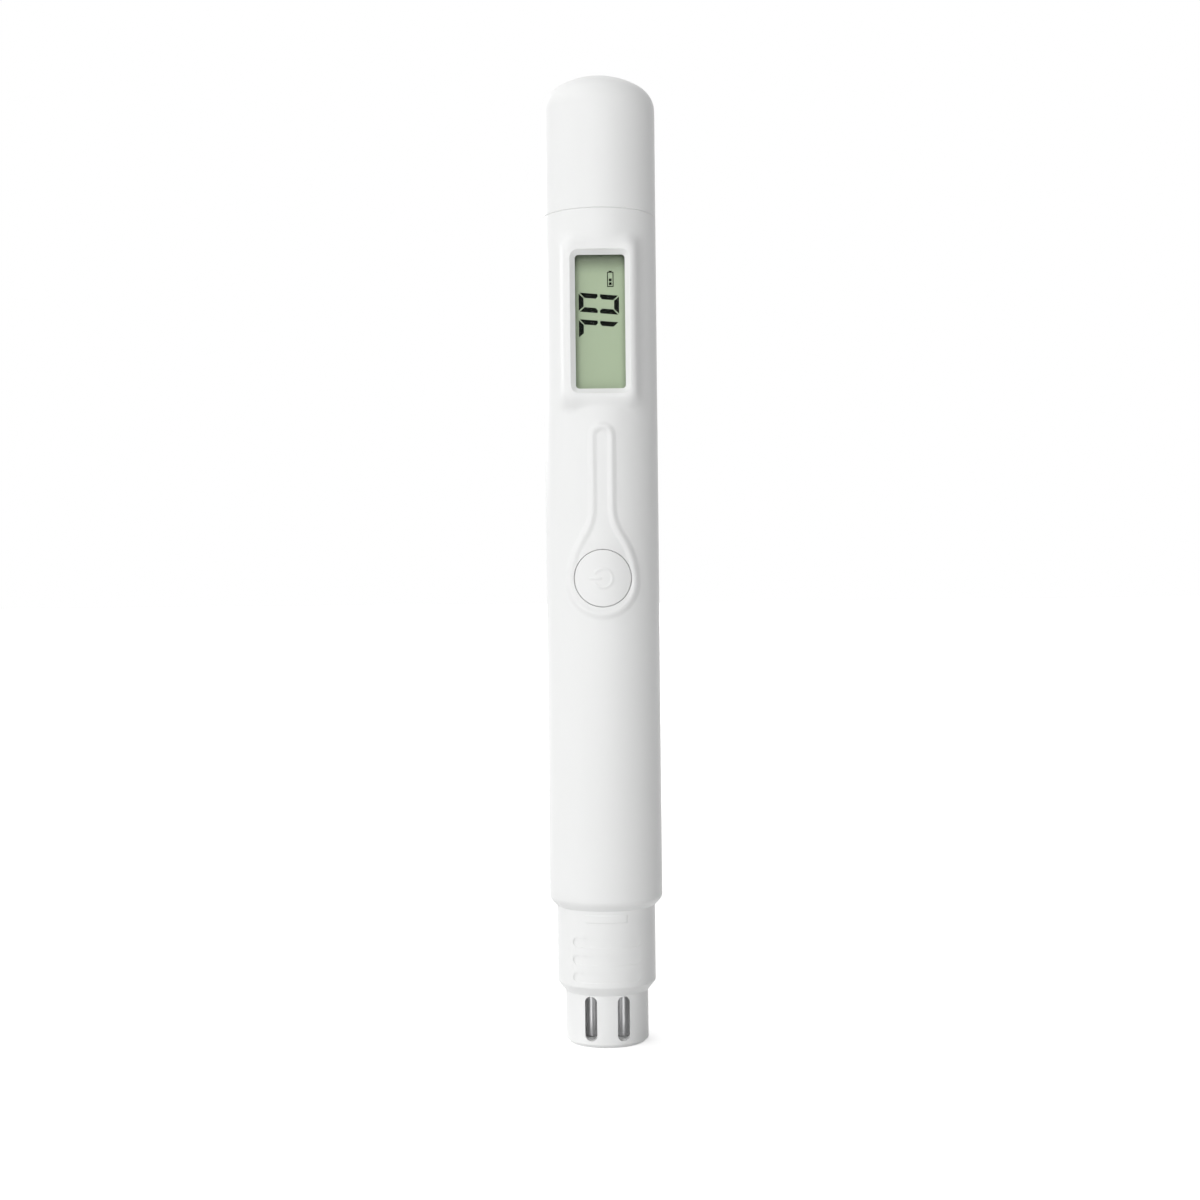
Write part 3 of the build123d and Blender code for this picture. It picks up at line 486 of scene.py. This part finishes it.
def make_button():
    """Round button, flush with the barrel, with softened rim, moulded sign, hidden flange and stem."""
    count = 128
    turn = np.arange(count) * 2 * pi / count
    edge = BUTTON_EDGE_R
    front_sink = BARREL_R - (BORE_R - FLANGE_GAP)
    back_sink = front_sink + FLANGE_T
    face = [(radius, 0.0) for radius in np.linspace(0.08, 3.7, 38) * MM]
    face += [(BUTTON_R - edge + edge * sin(a), edge - edge * cos(a)) for a in np.linspace(0.2, pi / 2, 6)]
    behind = [(BUTTON_R, front_sink), (FLANGE_R, front_sink), (FLANGE_R, back_sink), (STEM_R, back_sink)]
    loops = []
    for k, (radius, sink) in enumerate(face + behind):
        x, z = radius * np.cos(turn), BUTTON_Z + radius * np.sin(turn)
        y = -np.sqrt((BARREL_R - sink) ** 2 - x**2)
        if k < len(face):
            y = y - sign_height(x, z)
        loops.append(np.stack([x, y, z], 1))
    x, z = STEM_R * np.cos(turn), BUTTON_Z + STEM_R * np.sin(turn)
    stem = np.stack([x, np.full(count, STEM_BACK_Y), z], 1)
    shell = Shell()
    shell.bridge(*loops, stem)
    start = len(shell.verts)
    shell.verts += [tuple(loops[0].mean(0)), (0, STEM_BACK_Y, BUTTON_Z)]
    last = start - count
    for k in range(count):
        shell.faces.append((start, (k + 1) % count, k))
        shell.faces.append((start + 1, last + k, last + (k + 1) % count))
    obj = new_object("button_cap", shell.verts, shell.faces)
    smooth(obj)
    return obj


# Collar and seal


def make_collar_bar():
    """Low raised bar across the collar's front, above its grips."""
    columns, rows = np.linspace(-1, 1, 41), np.linspace(-1, 1, 15)
    outer, inner = [], []
    for v in rows:
        for u in columns:
            x, z = u * BAR_HALF_W, v * BAR_HALF_H
            edge = -rounded_box(np.array(x), np.array(z), BAR_HALF_W, BAR_HALF_H, BAR_CORNER)
            rise = BAR_RISE * sin(pi / 2 * float(np.clip(edge / BAR_RISE / 1.5, 0, 1)))
            for points, radius in ((outer, COLLAR_R + rise), (inner, COLLAR_R - BAR_SINK)):
                points.append((x, -(radius**2 - x**2) ** 0.5, BAR_Z + z))
    nu, nv = len(columns), len(rows)
    start = nu * nv
    faces = []
    for j in range(nv - 1):
        for i in range(nu - 1):
            a = j * nu + i
            faces.append((a, a + 1, a + nu + 1, a + nu))
            faces.append(tuple(start + k for k in (a + nu, a + nu + 1, a + 1, a)))
    rim = list(range(nu)) + [j * nu + nu - 1 for j in range(1, nv)]
    rim += [(nv - 1) * nu + i for i in range(nu - 2, -1, -1)] + [j * nu for j in range(nv - 2, 0, -1)]
    for a, b in zip(rim, rim[1:] + rim[:1]):
        faces.append((a, start + a, start + b, b))
    obj = new_object("collar_bar", outer + inner, faces)
    smooth(obj)
    return obj


def make_seal():
    """Round-section sealing ring in the neck's groove."""
    low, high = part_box("cap_seal")
    section = (high.z - low.z) / 2
    ring_r, z = high.x - section, (low.z + high.z) / 2
    around, across = 120, 20
    loops = []
    for k in range(across + 1):
        turn = 2 * pi * k / across
        sweep = np.arange(around) * 2 * pi / around
        radius = ring_r + section * cos(turn)
        loops.append(np.stack([
            radius * np.cos(sweep), radius * np.sin(sweep), np.full(around, z + section * sin(turn))
        ], 1))
    shell = Shell()
    shell.bridge(*loops)
    obj = new_object("neck_seal", shell.verts, shell.faces)
    smooth(obj)
    return obj


# Numerals

SEGMENTS = {"0": "abcdef", "7": "abc"}


def segment_outline(name):
    """Outline of one bar of a seven-bar numeral, x to the numeral's right and y up, about its middle."""
    w, h, t, g = DIGIT_W / 2, DIGIT_H / 2, STROKE, SEGMENT_GAP
    cap = [(-w + g, h), (w - g, h), (w - t - g / 2, h - t), (-w + t + g / 2, h - t)]
    side = [(w, h - g), (w, 1.6 * g), (w - t / 2, g), (w - t, 1.6 * g + t / 3), (w - t, h - t - g)]
    shapes = {
        "a": cap,
        "b": side,
        "c": [(x, -y) for x, y in side],
        "d": [(x, -y) for x, y in cap],
        "e": [(-x, -y) for x, y in side],
        "f": [(-x, y) for x, y in side],
    }
    return shapes[name]


def inked(name, outlines, y):
    """Thin solid shapes printed on the display, from outlines in (x, z)."""
    shell = Shell()
    for outline in outlines:
        count = len(outline)
        front = [(x, y - INK_T, z) for x, z in outline]
        back = [(x, y, z) for x, z in outline]
        faces = [tuple(range(count)), tuple(range(2 * count - 1, count - 1, -1))]
        faces += [(k, count + k, count + (k + 1) % count, (k + 1) % count) for k in range(count)]
        shell.patch(front + back, faces)
    obj = new_object(name, shell.verts, shell.faces)
    smooth(obj)
    return obj


def make_numerals():
    """The two numerals of the reading."""
    made = []
    for k, numeral in enumerate(READING):
        middle = DIGIT_Z - (len(READING) - 1 - k) * DIGIT_PITCH
        outlines = []
        for segment in SEGMENTS[numeral]:
            outlines.append([
                (DIGIT_X - up, middle + across + up * DIGIT_LEAN) for across, up in segment_outline(segment)
            ])
        made.append(inked("numeral_%d" % (k + 1), outlines, FILM_Y))
    return made


def make_charge_sign():
    """Small battery outline with two bars, above the reading."""
    half_w, half_h, line, gap = CHARGE_HALF_W, CHARGE_HALF_H, CHARGE_LINE, CHARGE_GAP

    def bar(x0, x1, z0, z1):
        return [(CHARGE_X + x, CHARGE_Z + z) for x, z in ((x0, z0), (x1, z0), (x1, z1), (x0, z1))]

    outlines = [
        bar(-half_w, half_w, -half_h, -half_h + line),
        bar(-half_w, half_w, half_h - line, half_h),
        bar(-half_w, -half_w + line, -half_h + line + gap, half_h - line - gap),
        bar(half_w - line, half_w, -half_h + line + gap, half_h - line - gap),
        bar(-half_w / 2, half_w / 2, half_h + gap, half_h + gap + line),
        bar(-half_w + 2 * line, half_w - 2 * line, -half_h + 2 * line, -half_h + 5 * line),
        bar(-half_w + 2 * line, half_w - 2 * line, -half_h + 6 * line, -half_h + 9 * line),
    ]
    return inked("charge_sign", outlines, FILM_Y)


# Materials


def material(name, colour, roughness, metallic=0.0, **sockets):
    """Principled material. Further sockets are given by name, with _ for a space."""
    made = bpy.data.materials.new(name)
    made.use_nodes = True
    shader = made.node_tree.nodes["Principled BSDF"]
    shader.inputs["Base Color"].default_value = (*colour, 1)
    shader.inputs["Roughness"].default_value = roughness
    shader.inputs["Metallic"].default_value = metallic
    for socket, value in sockets.items():
        shader.inputs[socket.replace("_", " ")].default_value = value
    return made


def add_noise(made, size, detail=3.0, stretch=(1, 1, 1)):
    """Noise in the object's own space, with features of about the given size."""
    nodes, links = made.node_tree.nodes, made.node_tree.links
    place = nodes.new("ShaderNodeTexCoord")
    scale = nodes.new("ShaderNodeMapping")
    scale.inputs["Scale"].default_value = stretch
    noise = nodes.new("ShaderNodeTexNoise")
    noise.inputs["Scale"].default_value = 1 / size
    noise.inputs["Detail"].default_value = detail
    links.new(place.outputs["Object"], scale.inputs["Vector"])
    links.new(scale.outputs["Vector"], noise.inputs["Vector"])
    return noise


def vary_colour(made, noise, dark, light):
    """Base colour that drifts between two tones with the noise."""
    nodes, links = made.node_tree.nodes, made.node_tree.links
    ramp = nodes.new("ShaderNodeValToRGB")
    ramp.color_ramp.elements[0].position = 0.35
    ramp.color_ramp.elements[1].position = 0.65
    ramp.color_ramp.elements[0].color = (*dark, 1)
    ramp.color_ramp.elements[1].color = (*light, 1)
    links.new(noise.outputs["Fac"], ramp.inputs["Fac"])
    links.new(ramp.outputs["Color"], nodes["Principled BSDF"].inputs["Base Color"])


def vary_roughness(made, noise, low, high):
    nodes, links = made.node_tree.nodes, made.node_tree.links
    spread = nodes.new("ShaderNodeMapRange")
    spread.inputs["From Min"].default_value = 0.3
    spread.inputs["From Max"].default_value = 0.7
    spread.inputs["To Min"].default_value = low
    spread.inputs["To Max"].default_value = high
    links.new(noise.outputs["Fac"], spread.inputs["Value"])
    links.new(spread.outputs["Result"], nodes["Principled BSDF"].inputs["Roughness"])


def add_bump(made, noise, depth, strength=1.0):
    """Bump from a noise, its depth in metres."""
    nodes, links = made.node_tree.nodes, made.node_tree.links
    bump = nodes.new("ShaderNodeBump")
    bump.inputs["Strength"].default_value = strength
    bump.inputs["Distance"].default_value = depth
    links.new(noise.outputs["Fac"], bump.inputs["Height"])
    links.new(bump.outputs["Normal"], nodes["Principled BSDF"].inputs["Normal"])


# Painted shade on the display's film, where the view opening's lip would shade it: axis, edge, where the
# shade ends, and tone at the edge
FILM_TOP_Z, FILM_EDGE_X = WINDOW_Z + VIEW_H / 2, VIEW_W / 2
FILM_PAINTED_SHADE = (
    ("Z", FILM_TOP_Z, FILM_TOP_Z - 2.8 * MM, 0.43),
    ("X", -FILM_EDGE_X, -FILM_EDGE_X + 1.0 * MM, 0.8),
    ("X", FILM_EDGE_X, FILM_EDGE_X - 0.8 * MM, 0.85),
)


def display_film_painted_shade(name, colour):
    """Film of the display with painted shade: darker towards the view opening's edges, most of all at its
    top, where the lip would cast its shadow.
    """
    made = moulded(name, colour, 0.4, grain=0.08 * MM, Specular_IOR_Level=0.2)
    nodes, links = made.node_tree.nodes, made.node_tree.links
    shader = nodes["Principled BSDF"]
    base = shader.inputs["Base Color"].links[0].from_socket
    place = nodes.new("ShaderNodeTexCoord")
    split = nodes.new("ShaderNodeSeparateXYZ")
    links.new(place.outputs["Object"], split.inputs["Vector"])
    # Each pass paints shade into the film's colour near one edge of the view opening, darkest at the edge
    for axis, edge, end, least in FILM_PAINTED_SHADE:
        painted_shade = nodes.new("ShaderNodeMapRange")
        painted_shade.interpolation_type = "SMOOTHSTEP"
        painted_shade.inputs["From Min"].default_value = edge
        painted_shade.inputs["From Max"].default_value = end
        painted_shade.inputs["To Min"].default_value = least
        painted_shade.inputs["To Max"].default_value = 1.0
        links.new(split.outputs[axis], painted_shade.inputs["Value"])
        dim = nodes.new("ShaderNodeVectorMath")
        dim.operation = "SCALE"
        links.new(base, dim.inputs[0])
        links.new(painted_shade.outputs["Result"], dim.inputs["Scale"])
        base = dim.outputs["Vector"]
    links.new(base, shader.inputs["Base Color"])
    return made


def tone(colour, factor):
    return tuple(min(1.0, c * factor) for c in colour)


def moulded(name, colour, roughness, grain=0.25 * MM, depth=0.0003 * MM, **sockets):
    """Moulded plastic: very faint flow tone, uneven gloss and a fine orange peel."""
    made = material(name, colour, roughness, **sockets)
    vary_colour(made, add_noise(made, 12 * MM, 1.0), tone(colour, 0.995), colour)
    vary_roughness(made, add_noise(made, 3 * MM, 2.0), roughness * 0.94, roughness * 1.06)
    add_bump(made, add_noise(made, grain, 1.0), depth)
    return made


def metal(name, colour, roughness, stretch=(1, 1, 0.06), size=0.12 * MM, depth=0.0008 * MM):
    """Metal with a fine drawn or brushed grain."""
    made = material(name, colour, roughness, 1.0)
    grain = add_noise(made, size, 3.0, stretch)
    vary_colour(made, grain, tone(colour, 0.94), tone(colour, 1.04))
    vary_roughness(made, grain, roughness * 0.85, roughness * 1.15)
    add_bump(made, grain, depth)
    return made


def laminate(name, colour, roughness):
    """Solder-masked board with the weave just showing."""
    made = material(name, colour, roughness)
    weave = add_noise(made, 0.5 * MM, 1.0, (1, 1, 2))
    vary_colour(made, weave, tone(colour, 0.8), tone(colour, 1.15))
    add_bump(made, weave, 0.004 * MM, 0.6)
    return made


WHITE = (0.86, 0.865, 0.86)
LCD_TONE = (0.505, 0.62, 0.42)
MATERIALS = {
    "white_plastic": moulded("white_gloss_plastic", WHITE, 0.3, Specular_IOR_Level=0.2),
    "chassis_plastic": moulded("chassis_satin_plastic", (0.74, 0.75, 0.74), 0.42, depth=0.002 * MM),
    "black_plastic": moulded("black_satin_plastic", (0.02, 0.02, 0.022), 0.45, depth=0.004 * MM),
    "black_film": moulded("black_film", (0.02, 0.02, 0.02), 0.6),
    "window": moulded("clear_window", (0.04, 0.045, 0.04), 0.08, Alpha=0.05, Specular_IOR_Level=0.3),
    "lcd_film": display_film_painted_shade("display_film_painted_shade", LCD_TONE),
    "lcd_glass": moulded("display_glass", (0.5, 0.58, 0.46), 0.08, Alpha=0.35, IOR=1.5),
    "black_rubber": moulded("black_rubber", (0.018, 0.018, 0.018), 0.62, depth=0.006 * MM),
    "board": laminate("green_laminate", (0.015, 0.13, 0.04), 0.35),
    "steel": metal("plated_steel", (0.5, 0.5, 0.51), 0.26, (1, 1, 0.5), 0.05 * MM, 0.0001 * MM),
    "tinned": metal("tinned_copper", (0.72, 0.71, 0.68), 0.3, (1, 1, 1), 0.2 * MM),
    "ceramic": moulded("ceramic", (0.33, 0.24, 0.15), 0.5, depth=0.006 * MM),
    "nickel": metal("nickel_plate", (0.58, 0.55, 0.5), 0.24, (1, 1, 0.3), 0.05 * MM, 0.0001 * MM),
    "electrode": metal("electrode_metal", (0.85, 0.85, 0.86), 0.36, size=0.06 * MM, depth=0.0002 * MM),
    "epoxy": moulded("potting", (0.02, 0.02, 0.025), 0.2, depth=0.01 * MM),
    "ink": moulded("display_ink", (0.002, 0.004, 0.002), 0.6, grain=0.06 * MM, Specular_IOR_Level=0.01),
}


def dress(obj, slot):
    obj.data.materials.clear()
    obj.data.materials.append(MATERIALS[slot])


for subpart in frame["record"]["subparts"]:
    dress(frame["nodes"][subpart["node"]], subpart["material_slot"])

shell = make_barrel_skin()
dress(shell, "white_plastic")
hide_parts("barrel")
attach(shell, "meter")

button = make_button()
dress(button, "white_plastic")
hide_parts("push_button")
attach(button, "button")

bar = make_collar_bar()
dress(bar, "white_plastic")
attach(bar, "meter")

seal = make_seal()
dress(seal, "black_rubber")
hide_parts("cap_seal")
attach(seal, "meter")

for piece in make_numerals() + [make_charge_sign()]:
    dress(piece, "ink")
    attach(piece, "meter")


# Floor, light and camera

TENT_AXIS = (-1.0, -0.1, 0.15)
TENT_SOFTNESS = 0.25
TENT_LEVEL, SHADE_LEVEL = 1.12, 0.01
FLOOR_HALF = 30.0
FLOOR_TONE, FLOOR_LIFT, FLOOR_FADE = (0.75, 0.75, 0.75), 0.62, (0.15, 1.0)
MIDDLE = (0, 0, 0.07)


def show_white(tree, socket):
    """Feeds 1 to rays from the camera and to reflected and refracted ones, and 0 to the others."""
    nodes, links = tree.nodes, tree.links
    path = nodes.new("ShaderNodeLightPath")
    seen = path.outputs["Is Camera Ray"]
    for ray in ("Is Glossy Ray", "Is Transmission Ray"):
        either = nodes.new("ShaderNodeMath")
        either.operation = "MAXIMUM"
        links.new(seen, either.inputs[0])
        links.new(path.outputs[ray], either.inputs[1])
        seen = either.outputs[0]
    links.new(seen, socket)


def make_floor():
    """Plain pale floor that keeps the pen's shadow near by and turns plain white further off."""
    corners = [(x * FLOOR_HALF, y * FLOOR_HALF, 0) for x, y in ((-1, -1), (1, -1), (1, 1), (-1, 1))]
    obj = new_object("floor", corners, [(0, 1, 2, 3)])
    made = material("floor_white", FLOOR_TONE, 0.9, Specular_IOR_Level=0.0, Emission_Color=(1, 1, 1, 1))
    nodes, links = made.node_tree.nodes, made.node_tree.links
    place = nodes.new("ShaderNodeTexCoord")
    far = nodes.new("ShaderNodeVectorMath")
    far.operation = "LENGTH"
    links.new(place.outputs["Object"], far.inputs[0])
    lift = nodes.new("ShaderNodeMapRange")
    lift.inputs["From Min"].default_value, lift.inputs["From Max"].default_value = FLOOR_FADE
    lift.inputs["To Min"].default_value, lift.inputs["To Max"].default_value = FLOOR_LIFT, 1.0
    links.new(far.outputs["Value"], lift.inputs["Value"])
    shown = nodes.new("ShaderNodeMath")
    shown.operation = "MULTIPLY"
    links.new(lift.outputs["Result"], shown.inputs[0])
    show_white(made.node_tree, shown.inputs[1])
    links.new(shown.outputs[0], nodes["Principled BSDF"].inputs["Emission Strength"])
    obj.data.materials.append(made)


def make_world():
    """White where it is seen, and a soft white tent at the left that lights the pen."""
    world = bpy.data.worlds.new("studio")
    bpy.context.scene.world = world
    world.use_nodes = True
    nodes, links = world.node_tree.nodes, world.node_tree.links
    nodes.clear()
    out = nodes.new("ShaderNodeOutputWorld")
    seen = nodes.new("ShaderNodeBackground")
    tent = nodes.new("ShaderNodeBackground")
    mix = nodes.new("ShaderNodeMixShader")
    seen.inputs["Color"].default_value = (1, 1, 1, 1)
    seen.inputs["Strength"].default_value = 1.0
    tent.inputs["Color"].default_value = (1, 1, 1, 1)
    show_white(world.node_tree, mix.inputs["Fac"])
    place = nodes.new("ShaderNodeTexCoord")
    facing = nodes.new("ShaderNodeVectorMath")
    facing.operation = "DOT_PRODUCT"
    facing.inputs[1].default_value = Vector(TENT_AXIS).normalized()
    links.new(place.outputs["Generated"], facing.inputs[0])
    edge = nodes.new("ShaderNodeMapRange")
    edge.interpolation_type = "SMOOTHSTEP"
    edge.inputs["From Min"].default_value = -TENT_SOFTNESS
    edge.inputs["From Max"].default_value = TENT_SOFTNESS
    edge.inputs["To Min"].default_value = SHADE_LEVEL
    edge.inputs["To Max"].default_value = TENT_LEVEL
    links.new(facing.outputs["Value"], edge.inputs["Value"])
    links.new(edge.outputs["Result"], tent.inputs["Strength"])
    links.new(tent.outputs[0], mix.inputs[1])
    links.new(seen.outputs[0], mix.inputs[2])
    links.new(mix.outputs[0], out.inputs["Surface"])


def softbox(name, place, target, size, power):
    """Rectangular soft light that faces a point."""
    data = bpy.data.lights.new(name, "AREA")
    data.shape = "RECTANGLE"
    data.size, data.size_y = size
    data.energy = power
    obj = bpy.data.objects.new(name, data)
    bpy.context.scene.collection.objects.link(obj)
    obj.location = place
    obj.rotation_euler = (Vector(target) - Vector(place)).to_track_quat("-Z", "Y").to_euler()


make_floor()
make_world()
softbox("front", (-0.05, -0.85, 0.20), MIDDLE, (0.9, 0.6), 3.2)
softbox("back", (-0.45, 0.70, 0.35), MIDDLE, (0.4, 0.4), 1.2)

# The photograph's view: level with the button, a little to the left of the pen's axis
CAMERA_DISTANCE = 260.5 * MM
CAMERA_X, CAMERA_Z = -0.44 * MM, 62.5 * MM
FOCAL_PX, FRAME_PX = 1830.0, 1200.0
SENSOR_MM = 36.0
ROLL = radians(-0.6)
camera_data = bpy.data.cameras.new("camera")
camera_data.sensor_fit = "HORIZONTAL"
camera_data.sensor_width = SENSOR_MM
camera_data.lens = FOCAL_PX / FRAME_PX * SENSOR_MM
camera_data.clip_start = 0.01
camera = bpy.data.objects.new("camera", camera_data)
bpy.context.scene.collection.objects.link(camera)
camera.matrix_world = (
    Matrix.Translation((CAMERA_X, -CAMERA_DISTANCE, CAMERA_Z))
    @ Matrix.Rotation(pi / 2, 4, "X")
    @ Matrix.Rotation(ROLL, 4, "Z")
)
bpy.context.scene.camera = camera
bpy.context.scene.view_settings.view_transform = "Standard"
